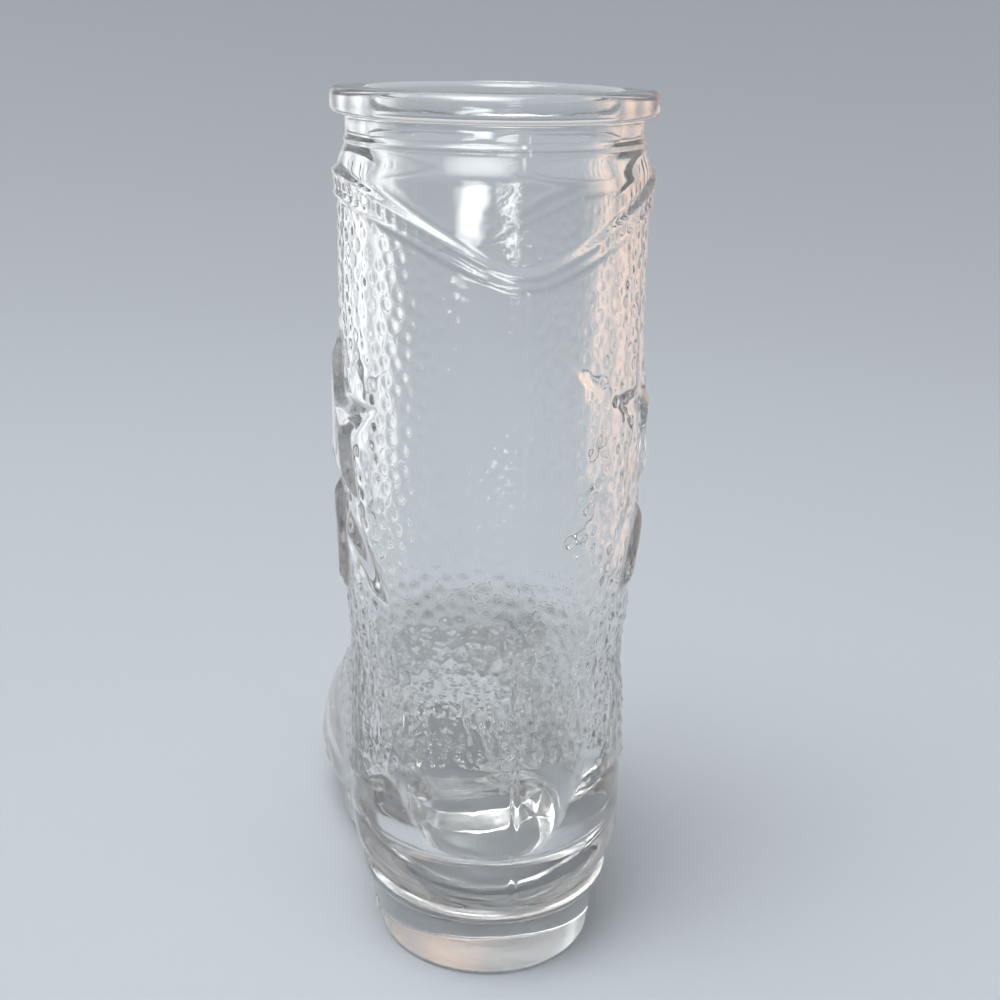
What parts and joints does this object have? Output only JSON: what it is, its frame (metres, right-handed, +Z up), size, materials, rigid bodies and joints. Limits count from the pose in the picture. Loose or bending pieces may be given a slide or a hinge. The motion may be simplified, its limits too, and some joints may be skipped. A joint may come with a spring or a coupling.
{
  "type": "boot shot glass",
  "caption": "Clear glass shot glass in the shape of a western boot, with a rolled rim, scalloped collar, stippled shaft, star reliefs, welted foot and solid heel.",
  "frame": {"origin": "on the floor, at the foot of the shaft's axis, inside the heel's underside", "axes": "+Z up along the shaft's axis, +Y towards the toe, +X to the right when looking towards the toe"},
  "size_m": [0.0366, 0.0778, 0.1025],
  "materials": {
    "clear_glass": "clear colourless moulded soda-lime glass, stippled on the shaft and polished elsewhere"
  },
  "bodies": {
    "root": {"rim_bead": "clear_glass", "collar": "clear_glass", "scallop_trim": "clear_glass", "shaft": "clear_glass", "star_relief_left": "clear_glass", "star_relief_right": "clear_glass", "foot": "clear_glass", "sole": "clear_glass", "heel": "clear_glass"}
  },
  "joints": []
}
